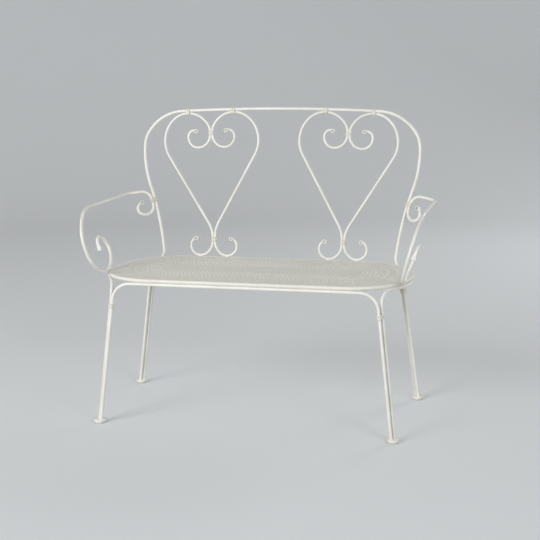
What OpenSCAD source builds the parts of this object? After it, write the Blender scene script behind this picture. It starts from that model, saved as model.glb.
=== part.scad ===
// Two-seat garden bench of bent and welded steel rod, with a perforated sheet seat,
// two double-scroll hearts in the back and a scrolled arm at each end.
// Millimetres. +X along the bench, -Y to the front, +Z up, the feet stand on z = 0.

/* [Seat] */
// Length of the seat over its rolled edge
seat_length = 964; // [880:2:1100]
// Depth of the seat over its rolled edge
seat_depth = 428; // [400:2:480]
// Height of the seat above the floor
seat_height = 450; // [420:1:480]
// Outside radius of the seat's rounded ends
seat_corner = 191; // [150:1:196]
// Diameter of the rolled edge
roll_d = 12; // [11:0.5:16]
// Diameter of the wire that the edge is rolled round
wire_d = 8; // [5:0.5:8]
// Thickness of the seat sheet
sheet_t = 1.5; // [1:0.1:1.8]
// How far the sheet lies below the top of the rolled edge
sheet_drop = 1; // [0.6:0.1:2]

/* [Perforation] */
// Diameter of the holes in the sheet
hole_d = 5; // [3:0.5:7]
// Distance from hole to hole in the close rows
hole_pitch = 13; // [11:0.5:16]
// Distance from hole to hole in the outermost row
edge_pitch = 21; // [16:1:30]
// Distance of the outermost row from the seat's outline
edge_row = 52; // [40:1:60]
// Distance of the second row from the seat's outline
second_row = 82; // [72:1:90]
// Distance of the field of close rows from the seat's outline
field_row = 106; // [102:1:112]
// Number of close rows in the field
field_rows = 5; // [3:1:5]
// Distance between the close rows
row_pitch = 13; // [10:0.5:13]

/* [Rods] */
// Diameter of the rod of the frame, the legs and the arms
rod_d = 10; // [8:0.5:12]
// Diameter of the rod of the hearts
heart_rod_d = 8; // [6:0.5:9]
// Gap left where two rods are welded side by side
weld_gap = 0.1; // [0.05:0.05:0.3]

/* [Legs] */
// Distance between the centres of the two rods of a leg
leg_pitch = 12; // [11.5:0.25:15]
// Distance of a front leg's top from the end of the seat
front_leg_inset = 73; // [60:1:90]
// How far a front foot stands further out than the leg's top
front_splay = 50; // [20:1:70]
// How far a front foot stands forward of the leg's top
front_reach = 30; // [10:1:50]
// Distance of a rear leg's top from the end of the seat
rear_leg_inset = 54; // [48:1:70]
// Distance of a rear leg's top from the back edge of the seat
rear_leg_setback = 42; // [34:1:60]
// How far a rear foot stands further out than the leg's top
rear_splay = 62; // [30:1:80]
// How far a rear foot stands further back than the leg's top
rear_reach = 2; // [0:1:40]
// Bend radius at the top of a front leg, under the seat's front
apron_bend = 56; // [35:1:80]
// Bend radius at the tops of the side hoops
side_bend = 42; // [30:1:55]
// Bend radius of a side hoop where it turns under the seat's end
end_bend = 110; // [60:5:130]
// How far the leg collars lie below the seat
leg_collar_down = 86; // [80:1:110]
// Height of the lower spacer in each leg
spacer_low = 85; // [60:1:120]
// Height of the upper spacer in each leg
spacer_high = 212; // [180:1:260]
// Diameter of the spacers
spacer_d = 6; // [4:0.5:8]

/* [Feet] */
// Diameter of a foot cup
foot_d = 36; // [32:1:46]
// Height of a foot cup
foot_h = 7; // [5:0.5:10]
// Diameter of a glide
glide_d = 34; // [28:1:40]
// Height of a glide
glide_h = 5; // [3:0.5:8]

/* [Back] */
// Height of the top rail above the floor, at its middle
back_height = 949; // [900:1:1000]
// Lean of the back from upright
back_lean = 6; // [3:0.5:10]
// Radius of the arch of the top rail
rail_r = 7000; // [5000:100:12000]
// How far the back's widest point lies inside the end of the seat
shoulder_inset = 6; // [0:1:20]
// Bend radius of the shoulder at the rail
shoulder_r = 150; // [130:1:170]
// Bend radius of the shoulder at the post
shoulder_r2 = 90; // [70:1:110]
// Radius of the post below the shoulder
post_r = 360; // [300:5:420]
// Length of the straight at the foot of a post
post_straight = 35; // [25:1:45]
// Bend radius where a post turns into its rear leg
post_bend = 32; // [20:1:38]
// Height of the post's lower bend above the seat
post_bend_up = 8; // [4:1:20]
// Height of the rear leg's upper bend below the seat
leg_bend_down = 52; // [46:1:64]

/* [Hearts] */
// Distance of the foot of a heart from the end of the seat
heart_inset = 259; // [250:1:270]
// Height of a heart's lower collar above the seat's edge
heart_collar = 55; // [50:0.5:70]
// Radius of the flare above the lower collar
flare_r = 105; // [90:1:130]
// Lean of the heart's straight sides
flare_a = 30.5; // [28:0.5:32]
// Radius of a heart's lobe at the top
lobe_r = 79; // [75:0.5:82]
// Radius of the inner side of the lobe
lobe_in_r = 44; // [40:0.5:50]
// Radius of the scroll below the middle collar
scroll_r = 42; // [38:0.5:48]
// Radius of the outer side of the scroll
scroll_out_r = 34; // [30:0.5:36]
// Radius of the last turn of the scroll
scroll_in_r = 20; // [17:0.5:22]
// Radius of a heart's foot scroll next to its collar
foot_r = 50; // [44:0.5:52]
// Radius of the foot scroll's round
foot_r2 = 35; // [32:0.5:38]
// Radius of the foot scroll's last turn
foot_r3 = 31; // [28:0.5:33]

/* [Arms] */
// Height of the arm collar above the seat
arm_collar_up = 187; // [176:1:200]
// Outward lean of the arm's plane
arm_lean = 15.5; // [10:0.5:20]
// How far the arm's front turns inward
arm_toe = 1.3; // [0:0.1:4]
// Where the arm stands on the round of the seat's edge
arm_station = 24; // [15:0.5:35]
// Radius of the arm's top front bend
arm_r1 = 122; // [110:1:130]
// Radius of the arm's front
arm_r2 = 95; // [88:1:104]
// Radius of the arm's bottom
arm_r3 = 88; // [82:1:94]
// Radius of the arm's inner scroll
arm_r4 = 44; // [38:1:48]
// Radius of the inner scroll's last turn
arm_r5 = 26; // [22:0.5:30]
// Outward twist of the inner scroll
arm_twist = 6.5; // [0:0.5:9]
// Length of the arm above its collar, up to the bend
arm_neck = 30; // [27:1:36]
// Bend radius above the arm collar
arm_neck_r = 18; // [12:1:20]
// Bend radius where the arm turns to the front
arm_turn_r = 28; // [20:1:34]
// How far forward of its neck the arm turns to the front
arm_turn_y = 30; // [24:1:40]
// Length of the arm below its collar, down to the rear scroll
rear_scroll_l = 17; // [14:1:24]
// Radius of the rear scroll's round
rear_scroll_r = 28; // [25:0.5:31]
// Radius of the rear scroll's last turn
rear_scroll_r2 = 18; // [16:0.5:20]

/* [Collars] */
// Length of a collar along its rods
collar_l = 14; // [10:0.5:16]
// How far a collar stands out from its rods
collar_out = 2.8; // [2:0.1:4]
// Clearance between a collar and its rods
collar_gap = 0.15; // [0.1:0.05:0.3]

/* [Scroll tips] */
// Width of the flattened and rolled tip
tip_w = 13; // [11:0.5:16]
// Thickness of the flattened tip
tip_t = 4; // [3:0.25:5]
// Outside diameter of the rolled eye
eye_d = 13; // [11:0.5:16]

/* [Hidden] */
ivory = "#efece0";
sheet_c = "#e6e2d6";
rubber_c = "#dcd9cf";
$fn = 48;

// Seat outline: half sizes and corner radius of the centreline of the rolled edge
rim_a = seat_length / 2 - roll_d / 2;
rim_b = seat_depth / 2 - roll_d / 2;
rim_r = seat_corner - roll_d / 2;
rim_z = seat_height - roll_d / 2;
sheet_top = seat_height - sheet_drop;
sheet_up = sheet_top - rim_z;
sheet_edge = sqrt(roll_d * roll_d / 4 - sheet_up * sheet_up) - 0.2;

// Height of the rods that carry the seat, and of the tops of the feet
under_z = seat_height - roll_d - rod_d / 2 - weld_gap;
foot_top = foot_h + glide_h;
leg_collar_z = seat_height - leg_collar_down;

// Back plane: s runs up along the lean from where the hearts rest on the rolled edge
rest_a = 58;
rest_d = roll_d / 2 + heart_rod_d / 2 + weld_gap;
back_y = rim_b + rest_d * cos(rest_a);
back_z = rim_z + rest_d * sin(rest_a);
rail_s = (back_height - rod_d / 2 - back_z) / cos(back_lean);

// Angles of the shoulder's three bends and of the post's hollow curve
turn_1 = 57;
turn_2 = 27.5;
turn_3 = 22;
turn_4 = 11.5;

// Everything is moved along Y by this so that the object's box is centred
leg_off_x = leg_pitch / 2 * 0.68;
leg_off_y = leg_pitch / 2 * 0.73;
front_y = -rim_b - front_reach - foot_d / 2 + leg_off_y;
rear_y = back_y + rail_s * sin(back_lean) + rod_d / 2 + collar_out;
shift_y = -(front_y + rear_y) / 2;

// Where two stretches of a rod meet, both stop a hair short inside a ball that is
// a hair thicker, and turned so that its seam crosses theirs, so that neighbouring
// surfaces never graze each other
hair = 0.1;
proud = 0.05;

// A pose is a point and three axes: heading, left and up
function unit(v) = v / norm(v);
function fwd(p, l) = [p[0] + l * p[1], p[1], p[2], p[3]];
function bend(p, r, a) = [
    p[0] + r * sin(abs(a)) * p[1] + sign(a) * r * (1 - cos(a)) * p[2],
    cos(a) * p[1] + sin(a) * p[2],
    cos(a) * p[2] - sin(a) * p[1],
    p[3]];
function step(p, e) = len(e) == 1 ? fwd(p, e[0]) : bend(p, e[0], e[1]);
function walk(p, c, i = 0) =
    i == len(c) ? [p] : concat([p], walk(step(p, c[i]), c, i + 1));
function last(l) = l[len(l) - 1];
function end_of(p, c) = last(walk(p, c));
function pose(at, heading, left) = let (
    x = unit(heading), y = unit(left - (left * x) * x)) [at, x, y, cross(x, y)];

module place(p) {
    multmatrix([
        [p[1][0], p[2][0], p[3][0], p[0][0]],
        [p[1][1], p[2][1], p[3][1], p[0][1]],
        [p[1][2], p[2][2], p[3][2], p[0][2]],
        [0, 0, 0, 1]]) children();
}

// One straight or one bend of a rod of diameter d, from the origin along +X, cut
// short by t0 at its start and by t1 at its end
module stretch(e, d, t0 = 0, t1 = 0) {
    if (len(e) == 1)
        translate([t0, 0, 0]) rotate([0, 90, 0]) cylinder(d = d, h = e[0] - t0 - t1);
    else {
        a = abs(e[1]) - (t0 + t1) / e[0] * 180 / PI;
        mirror([0, e[1] < 0 ? 1 : 0, 0])
            translate([0, e[0], 0]) rotate([0, 0, t0 / e[0] * 180 / PI - 90])
            rotate_extrude(angle = a, $fn = ceil(360 / a * max(4, a / 8)))
            translate([e[0], 0]) circle(d = d, $fn = 24);
    }
}
module knuckle(p, d, up = proud) {
    place(p) rotate([37, 0, 0]) rotate([0, 90, 0]) sphere(d = d + 2 * up, $fn = 32);
}

// A rod that starts at pose p and follows the list c of [length] and [radius, angle];
// a and b say whether its start and its end run on into another rod: 0 no, 1 yes and
// the ball there is made here, 2 yes and the ball is made with the other rod
module rod(p, c, d, a = 0, b = 0) {
    w = walk(p, c);
    n = len(c);
    for (i = [0 : n - 1])
        place(w[i]) stretch(c[i], d, i > 0 || a > 0 ? hair : 0, i < n - 1 || b > 0 ? hair : 0);
    for (i = [a == 1 ? 0 : 1 : 1 : b == 1 ? n : n - 1]) knuckle(w[i], d);
}

// A rod through corner points, rounded at each inner corner by its bend radius
function dir(v, i) = unit(v[i + 1] - v[i]);
function turn(v, i) = acos(dir(v, i - 1) * dir(v, i));
function cut_back(v, r, i) =
    i == 0 || i == len(v) - 1 ? 0 : r[i] * tan(turn(v, i) / 2);
function straight_l(v, r, i) =
    norm(v[i + 1] - v[i]) - cut_back(v, r, i) - cut_back(v, r, i + 1);
function straight_at(v, r, i) =
    pose(v[i] + cut_back(v, r, i) * dir(v, i), dir(v, i),
        i > 0 ? -dir(v, i - 1) : -dir(v, i + 1));
module cornered_rod(v, r, d, a = 0, b = 0) {
    n = len(v) - 2;
    for (i = [0 : n])
        place(straight_at(v, r, i)) stretch([straight_l(v, r, i)], d,
            i > 0 || a > 0 ? hair : 0, i < n || b > 0 ? hair : 0);
    for (i = [1 : n]) {
        p = pose(v[i] - cut_back(v, r, i) * dir(v, i - 1), dir(v, i - 1), dir(v, i));
        e = [r[i], turn(v, i)];
        place(p) stretch(e, d, hair, hair);
        knuckle(p, d);
        knuckle(step(p, e), d);
    }
    if (a == 1) knuckle(straight_at(v, r, 0), d);
    if (b == 1) knuckle(pose(v[n + 1], dir(v, n), -dir(v, n - 1)), d);
}

// Seat
function rim_chain() = [[2 * (rim_a - rim_r)], [rim_r, 90], [2 * (rim_b - rim_r)],
    [rim_r, 90], [2 * (rim_a - rim_r)], [rim_r, 90], [2 * (rim_b - rim_r)], [rim_r, 90]];
rim_start = [[-(rim_a - rim_r), -rim_b, rim_z], [1, 0, 0], [0, 1, 0], [0, 0, 1]];

// Rounded rectangle inside the centreline of the rolled edge by o
module inset_plate(o) {
    square([2 * (rim_a - rim_r), 2 * (rim_b - o)], center = true);
    square([2 * (rim_a - o), 2 * (rim_b - rim_r)], center = true);
    for (x = [-1, 1], y = [-1, 1])
        translate([x * (rim_a - rim_r), y * (rim_b - rim_r)]) circle(r = rim_r - o);
}

// A point at distance t along a row that lies o inside the seat's outline
function row_length(o) = 4 * (seat_length / 2 - seat_corner)
    + 4 * (seat_depth / 2 - seat_corner) + 2 * PI * (seat_corner - o);
function row_point(o, t) = let (
    hx = seat_length / 2 - seat_corner, hy = seat_depth / 2 - seat_corner,
    r = seat_corner - o, q = PI * r / 2, quarter = hx + q + hy,
    n = floor(t / (2 * quarter)), u = t - n * 2 * quarter,
    m = u > quarter ? 1 : 0, w = m == 1 ? 2 * quarter - u : u,
    x = w < hx ? w : w < hx + q ? hx + r * sin((w - hx) / r * 180 / PI) : hx + r,
    y = w < hx ? hy + r : w < hx + q ? hy + r * cos((w - hx) / r * 180 / PI)
        : hy - (w - hx - q),
    s = n == 0 ? 1 : -1)
    [s * x, s * (m == 1 ? -y : y)];
module hole_row(o, pitch, phase) {
    count = 2 * round(row_length(o) / pitch / 2);
    for (i = [0 : count - 1])
        translate(row_point(o, (i + phase) * row_length(o) / count))
            circle(d = hole_d, $fn = 16);
}
module seat_pan() {
    color(sheet_c) difference() {
        union() {
            rod(rim_start, rim_chain(), roll_d, 2, 1);
            translate([0, 0, sheet_top - sheet_t]) linear_extrude(sheet_t)
                difference() {
                    inset_plate(sheet_edge);
                    hole_row(edge_row, edge_pitch, 0.5);
                    hole_row(second_row, hole_pitch, 0.5);
                    for (k = [0 : field_rows - 1])
                        hole_row(field_row + k * row_pitch, hole_pitch, k % 2 == 0 ? 0 : 0.5);
                }
        }
        rod(rim_start, rim_chain(), roll_d - 2 * sheet_t, 2, 1);
    }
}
module seat_wire() {
    color(ivory) rod(rim_start, rim_chain(), wire_d, 2, 1);
}

// Legs: the axis of a leg runs from its foot on the floor to the height under_z
front_foot = [rim_a - front_leg_inset + front_splay, -rim_b - front_reach + leg_off_y, 0];
front_top = [rim_a - front_leg_inset, -rim_b + leg_off_y, under_z];
rear_foot = [rim_a - rear_leg_inset + rear_splay, rim_b - rear_leg_setback + rear_reach, 0];
rear_top = [rim_a - rear_leg_inset, rim_b - rear_leg_setback, under_z];
front_off = [leg_off_x, leg_off_y, 0];
rear_off = [leg_off_x, -leg_off_y, 0];
function along(a, b, z) = a + (b - a) * ((z - a[2]) / (b[2] - a[2]));
module above_feet() {
    difference() {
        children();
        translate([-1000, -1000, -100]) cube([2000, 2000, 100 + foot_top]);
    }
}
function flip(v) = [-v[0], v[1], v[2]];
module front_hoop() {
    v = [front_foot - front_off, front_top - front_off,
        flip(front_top - front_off), flip(front_foot - front_off)];
    color(ivory) above_feet() cornered_rod(v, [0, apron_bend, apron_bend, 0], rod_d);
}
module side_hoop() {
    f = front_top + front_off;
    g = rear_top + rear_off;
    v = [front_foot + front_off, f,
        [rim_a, f[1] + (rim_a - f[0]) * 1.83, under_z],
        [rim_a, g[1] - (rim_a - g[0]) * 1.83, under_z],
        g, rear_foot + rear_off];
    color(ivory) above_feet()
        cornered_rod(v, [0, side_bend, end_bend, end_bend, side_bend, 0], rod_d);
}

// Back frame: the rail, shoulders and posts lie in the back plane
function in_back(x, s) = [x, back_y + s * sin(back_lean), back_z + s * cos(back_lean)];
back_up = [0, sin(back_lean), cos(back_lean)];
back_out = [0, cos(back_lean), -sin(back_lean)];
function reach_x(r, h0, h1) = r * (sin(h1) - sin(h0));
shoulder_x = rim_a + roll_d / 2 - shoulder_inset - rod_d / 2;
// Half angle of the arched rail, by which the widest point comes to shoulder_x
function rail_end(n, a) = n == 0 ? a : rail_end(n - 1,
    asin((shoulder_x - reach_x(shoulder_r, a, a + turn_1)
        - reach_x(shoulder_r2, a + turn_1, a + turn_1 + turn_2)
        - reach_x(post_r, a + turn_1 + turn_2, 90)) / rail_r));
rail_a = rail_end(8, 2.7);
rail_mid = [in_back(0, rail_s), [1, 0, 0], back_up, cross([1, 0, 0], back_up)];
post_top_chain = [[rail_r, -rail_a], [shoulder_r, -turn_1], [shoulder_r2, -turn_2],
    [post_r, -turn_3]];
hollow = end_of(rail_mid, post_top_chain);
// The hollow curve takes up the height that is left above the straight
hollow_drop = (step(hollow, [1, turn_4])[0] - hollow[0])[2];
straight_drop = step(hollow, [1, turn_4])[1][2];
post_r2 = (seat_height + post_bend_up - hollow[0][2] - post_straight * straight_drop)
    / hollow_drop;
post_chain = concat(post_top_chain, [[post_r2, turn_4]]);
post_end = end_of(rail_mid, post_chain);
// Lower end of the post's straight and the rear leg's inner rod
post_low = post_end[0] + post_end[1] * ((post_end[0][2] - seat_height - post_bend_up)
    / -post_end[1][2]);
leg_high = along(rear_foot - rear_off, rear_top - rear_off, seat_height - leg_bend_down);
module back_half() {
    rod(rail_mid, post_chain, rod_d, 2, 1);
    v = [post_end[0], post_low, leg_high, rear_foot - rear_off];
    cornered_rod(v, [0, post_bend, post_bend, 0], rod_d, 2);
}
module back_frame() {
    color(ivory) above_feet() {
        back_half();
        mirror([1, 0, 0]) back_half();
        knuckle(rail_mid, rod_d);
    }
}

// Flattened and rolled tip of a scroll, from a rod of diameter d along +X, turning left
module tip(d) {
    l = 1.6 * d;
    translate([hair, 0, 0]) rotate([0, 90, 0])
        cylinder(d1 = d, d2 = 0.8 * tip_t, h = l - 1 - hair);
    translate([0, tip_t / 2, 0]) rotate([90, 0, 0]) linear_extrude(tip_t)
        polygon([[1, -0.4 * d], [l, -tip_w / 2], [l, tip_w / 2], [1, 0.4 * d]]);
    translate([l, eye_d / 2 - tip_t / 2, 0]) rotate([0, 0, -90])
        rotate_extrude(angle = 300, $fn = 48)
        translate([eye_d / 2 - tip_t, -tip_w / 2]) square([tip_t, tip_w]);
}
module scroll(p, c, d, a = 0) {
    rod(p, c, d, a, 1);
    place(end_of(p, c)) tip(d);
}

// Hearts. The rods of a heart lie side by side at its two collars.
heart_x = seat_length / 2 - heart_inset;
pair = (heart_rod_d + weld_gap) / 2;
rail_c = rail_s - rail_r;
heart_far = norm([heart_x, heart_collar - rail_c]);
heart_tilt = atan2(heart_x, heart_collar - rail_c);
heart_top = rail_r - heart_far;
lobe_b = 243.5;
lobe_mid = pair - lobe_r * sin(lobe_b) + lobe_in_r * (1 + sin(lobe_b));
apex = heart_top - lobe_mid * lobe_mid / 2 / rail_r - rod_d / 2 - heart_rod_d / 2 - weld_gap;
// Straight on either side of the middle of a collar on a heart
heart_straight = collar_l / 2 - 2;
// Side length and outer lobe radius by which the lobe touches the rail and the
// rod comes back to its neighbour at the middle collar
lobe_a = 134.5;
side_h = 90 - flare_a;
lobe_ax = sin(lobe_a) - sin(side_h);
lobe_ay = cos(side_h) - cos(lobe_a);
lobe_w = lobe_r * (sin(lobe_b) - sin(lobe_a)) + lobe_in_r * (sin(270) - sin(lobe_b));
flare_x = flare_r * (1 - cos(flare_a));
flare_y = heart_straight + flare_r * sin(flare_a);
apex_y = lobe_r * (cos(lobe_a) + 1);
// side_l * cos(side_h) + out_r * lobe_ax = -flare_x - lobe_w
// side_l * sin(side_h) + out_r * lobe_ay = apex - flare_y - apex_y
det = cos(side_h) * lobe_ay - sin(side_h) * lobe_ax;
side_l = ((-flare_x - lobe_w) * lobe_ay - (apex - flare_y - apex_y) * lobe_ax) / det;
out_r = (cos(side_h) * (apex - flare_y - apex_y) - sin(side_h) * (-flare_x - lobe_w)) / det;
heart_up_chain = [[heart_straight], [flare_r, -flare_a], [side_l],
    [out_r, lobe_a - side_h], [lobe_r, lobe_b - lobe_a], [lobe_in_r, 270 - lobe_b],
    [2 * heart_straight], [scroll_r, 95], [scroll_out_r, 100], [scroll_in_r, 60]];
foot_drop = foot_r * (cos(330) - cos(270)) + foot_r2 * (1 - cos(330));
heart_down_chain = [[heart_collar - foot_drop], [foot_r, 60], [foot_r2, 78], [foot_r3, 82]];
function heart_base() = in_back(heart_x, heart_collar);
function tilted(a) = sin(a) * [1, 0, 0] + cos(a) * back_up;
// Outer rod of the right heart; inner = true mirrors it about the heart's axis
module heart_rod(inner) {
    m = inner ? -1 : 1;
    u = tilted(heart_tilt);
    o = cross(u, -back_out);
    up = [heart_base() + m * pair * o, u, -m * o, cross(u, -m * o)];
    dn = [heart_base() + m * pair * [1, 0, 0], -back_up, m * [1, 0, 0],
        cross(-back_up, m * [1, 0, 0])];
    color(ivory) {
        scroll(up, heart_up_chain, heart_rod_d);
        scroll(dn, heart_down_chain, heart_rod_d);
        knuckle(dn, heart_rod_d, 2 * proud);
    }
}

// Arms. The arm stands on the seat's edge where it crosses it.
arm_rise = 12;
arm_f = [-sin(arm_toe), -cos(arm_toe), 0];
arm_o = [cos(arm_toe), -sin(arm_toe), 0];
arm_w = sin(arm_lean) * arm_o + cos(arm_lean) * [0, 0, 1];
station = [rim_a - rim_r + rim_r * cos(arm_station),
    -(rim_b - rim_r) - rim_r * sin(arm_station), rim_z];
station_t = [sin(arm_station), cos(arm_station), 0];
arm_t = -cos(arm_rise) * arm_f + sin(arm_rise) * arm_w;
arm_n = unit(cross(station_t, arm_t));
arm_at = station + (roll_d / 2 + rod_d / 2 + weld_gap) * arm_n;
arm_up = cos(arm_rise) * arm_w + sin(arm_rise) * arm_f;
arm_in = pose(arm_at, arm_t, cos(arm_twist) * arm_up + sin(arm_twist) * arm_o);
arm_in_chain = [[arm_r3, 46], [arm_r4, 92], [arm_r5, 108]];
arm_out = pose(arm_at, -arm_t, -arm_up);
arm_out_chain = [[arm_r3, -(48.5 + arm_rise)], [arm_r2, -61.5], [arm_r1, -68.5]];
arm_top = end_of(arm_out, arm_out_chain);
// Post at the arm collar, on the hollow curve of the post
arm_side_a = 40;
arm_s = (seat_height + arm_collar_up - back_z) / cos(back_lean);
hollow_c = hollow[0] + post_r2 * hollow[2];
hollow_s = (hollow_c - [0, back_y, back_z]) * back_up;
arm_dx = sqrt(post_r2 * post_r2 - (arm_s - hollow_s) * (arm_s - hollow_s));
post_at = in_back(hollow_c[0] - arm_dx, arm_s);
post_u = unit(back_up * arm_dx + [1, 0, 0] * (hollow_s - arm_s) * -1);
post_side = cross(post_u, -back_out);
arm_side = unit(cos(arm_side_a) * post_side - sin(arm_side_a) * back_out);
arm_base = post_at + (rod_d + weld_gap) * arm_side;
arm_bend_up = arm_base + arm_neck * post_u;
arm_turn = arm_top[0]
    + arm_top[1] * ((arm_bend_up[1] - arm_turn_y - arm_top[0][1]) / arm_top[1][1]);
module arm() {
    color(ivory) {
        scroll(arm_in, arm_in_chain, rod_d, 1);
        rod(arm_out, arm_out_chain, rod_d, 2, 1);
        cornered_rod([arm_base, arm_bend_up, arm_turn, arm_top[0]],
            [0, arm_neck_r, arm_turn_r, 0], rod_d, 1, 2);
        scroll(pose(arm_base, -post_u, arm_side),
            [[rear_scroll_l], [rear_scroll_r, 125], [rear_scroll_r2, 95]], rod_d, 2);
    }
}

// A collar round two rods of diameter d that lie along the heading of p, spaced
// along its left axis by pitch: a band with two rounded beads
module collar_profile(r) {
    square_l = collar_l;
    translate([r, -square_l / 2]) square([0.35 * collar_out, square_l]);
    for (z = [-1, 1]) intersection() {
        translate([r + collar_out - collar_gap - collar_l / 4, z * collar_l / 4])
            circle(r = collar_l / 4, $fn = 32);
        translate([r, -collar_l / 2]) square([collar_out, collar_l]);
    }
}
module collar(p, d, pitch) {
    r = d / 2 + collar_gap;
    color(ivory) place([p[0], p[2], p[3], p[1]]) {
        for (m = [0, 1]) mirror([m, 0, 0]) translate([pitch / 2, 0, 0])
            rotate([0, 0, -90]) rotate_extrude(angle = 180) collar_profile(r);
        for (m = [0, 1]) mirror([0, m, 0]) translate([-pitch / 2, 0, 0])
            rotate([90, 0, 90]) linear_extrude(pitch) collar_profile(r);
    }
}
module rail_collar(inner) {
    m = inner ? -1 : 1;
    a = heart_tilt + m * asin(lobe_mid / rail_r);
    c = in_back(0, rail_c);
    u = tilted(a);
    pitch = rod_d / 2 + heart_rod_d / 2 + weld_gap;
    collar(pose(c + (rail_r - pitch / 2) * u, cross(u, -back_out), u), rod_d, pitch);
}
module heart_collar() {
    u = tilted(heart_tilt);
    y = apex - lobe_r - lobe_r * cos(lobe_b) - lobe_in_r * (cos(270) - cos(lobe_b))
        - heart_straight;
    collar(pose(heart_base() + y * u, u, cross(u, -back_out)), heart_rod_d, 2 * pair);
}
module heart_foot_collar() {
    collar(pose(heart_base(), back_up, [1, 0, 0]), heart_rod_d, 2 * pair);
}
module arm_collar() {
    collar(pose((post_at + arm_base) / 2, post_u, arm_side), rod_d, rod_d + weld_gap);
}
module leg_collar(foot, top, off) {
    collar(pose(along(foot, top, leg_collar_z), top - foot, off), rod_d, leg_pitch);
}

// Feet
module foot_cup(at) {
    color(ivory) translate([at[0], at[1], glide_h]) rotate_extrude() {
        square([foot_d / 2 - 2, foot_h]);
        translate([0, 0]) square([foot_d / 2, foot_h - 2]);
        translate([foot_d / 2 - 2, foot_h - 2]) circle(r = 2);
    }
}
module glide(at) {
    color(rubber_c) translate([at[0], at[1], 0]) rotate_extrude() {
        translate([0, 1.5]) square([glide_d / 2, glide_h - 1.5]);
        square([glide_d / 2 - 1.5, glide_h]);
        translate([glide_d / 2 - 1.5, 1.5]) circle(r = 1.5);
    }
}
module spacers(foot, top, off) {
    for (z = [spacer_low, spacer_high]) {
        p = pose(along(foot, top, z), off, top - foot);
        l = leg_pitch - rod_d + 0.6;
        place(fwd(p, -l / 2)) stretch([l], spacer_d);
    }
}
module leg_spacers() {
    color(ivory) for (m = [0, 1]) mirror([m, 0, 0]) {
        spacers(front_foot, front_top, front_off);
        spacers(rear_foot, rear_top, rear_off);
    }
}

module right() translate([0, shift_y, 0]) children();
module left() translate([0, shift_y, 0]) mirror([1, 0, 0]) children();

right() seat_pan();
right() seat_wire();
right() front_hoop();
left() side_hoop();  // side_hoop_left
right() side_hoop();  // side_hoop_right
right() back_frame();
left() heart_rod(false);  // heart_left_outer
left() heart_rod(true);  // heart_left_inner
right() heart_rod(true);  // heart_right_inner
right() heart_rod(false);  // heart_right_outer
left() arm();  // arm_left
right() arm();  // arm_right
left() rail_collar(false);  // rail_collar_1
left() rail_collar(true);  // rail_collar_2
right() rail_collar(true);  // rail_collar_3
right() rail_collar(false);  // rail_collar_4
left() heart_collar();  // heart_collar_left
right() heart_collar();  // heart_collar_right
left() heart_foot_collar();  // heart_foot_collar_left
right() heart_foot_collar();  // heart_foot_collar_right
left() arm_collar();  // arm_collar_left
right() arm_collar();  // arm_collar_right
left() leg_collar(front_foot, front_top, front_off);  // leg_collar_front_left
right() leg_collar(front_foot, front_top, front_off);  // leg_collar_front_right
left() leg_collar(rear_foot, rear_top, rear_off);  // leg_collar_rear_left
right() leg_collar(rear_foot, rear_top, rear_off);  // leg_collar_rear_right
left() foot_cup(front_foot);  // foot_cup_front_left
right() foot_cup(front_foot);  // foot_cup_front_right
left() foot_cup(rear_foot);  // foot_cup_rear_left
right() foot_cup(rear_foot);  // foot_cup_rear_right
left() glide(front_foot);  // glide_front_left
right() glide(front_foot);  // glide_front_right
left() glide(rear_foot);  // glide_rear_left
right() glide(rear_foot);  // glide_rear_right
right() leg_spacers();
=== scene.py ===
"""Two-seat garden bench of bent and welded steel rod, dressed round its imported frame.

Each rod, collar and foot and the perforated seat is modelled again here where its node is,
in the way that it is made: bent, hammered, punched or turned, and painted.
"""

import math

import bmesh
import bpy
from mathutils import Matrix, Vector


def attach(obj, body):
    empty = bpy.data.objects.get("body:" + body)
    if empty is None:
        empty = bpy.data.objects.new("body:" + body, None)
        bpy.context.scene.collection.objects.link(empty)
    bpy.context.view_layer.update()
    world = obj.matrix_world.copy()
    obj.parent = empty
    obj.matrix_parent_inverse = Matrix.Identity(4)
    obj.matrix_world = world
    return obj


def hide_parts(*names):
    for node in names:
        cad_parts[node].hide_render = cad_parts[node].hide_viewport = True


bl_info = {
    "name": "Scroll Back Garden Bench",
    "version": (1, 0, 0),
    "blender": (4, 5, 0),
    "location": "3D View > Sidebar > Bench",
    "description": "Builds a garden bench of bent steel rod with a perforated seat",
    "category": "Add Mesh",
}

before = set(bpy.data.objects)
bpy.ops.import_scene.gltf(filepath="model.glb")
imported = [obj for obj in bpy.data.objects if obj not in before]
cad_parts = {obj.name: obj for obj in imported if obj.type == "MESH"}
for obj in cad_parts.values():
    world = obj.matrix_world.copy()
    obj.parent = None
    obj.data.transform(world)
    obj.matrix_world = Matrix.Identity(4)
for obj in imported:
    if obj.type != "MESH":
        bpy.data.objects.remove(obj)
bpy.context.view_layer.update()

MM = 0.001  # the bench is drawn in millimetres and ends in metres
MERGE = 0.002  # vertices this close, in millimetres, are one

# Layout in millimetres, the same as in the part's source: the bench is drawn with its seat
# centred on the origin and then moved along Y by SHIFT_Y, which centres the object's box
SEAT_L, SEAT_D, SEAT_H, SEAT_CORNER = 964, 428, 450, 191
# Diameter of the rolled edge, thickness of the sheet, and how far it lies below the roll's top
ROLL_D, SHEET_T, SHEET_DROP = 12, 1.5, 1
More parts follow.
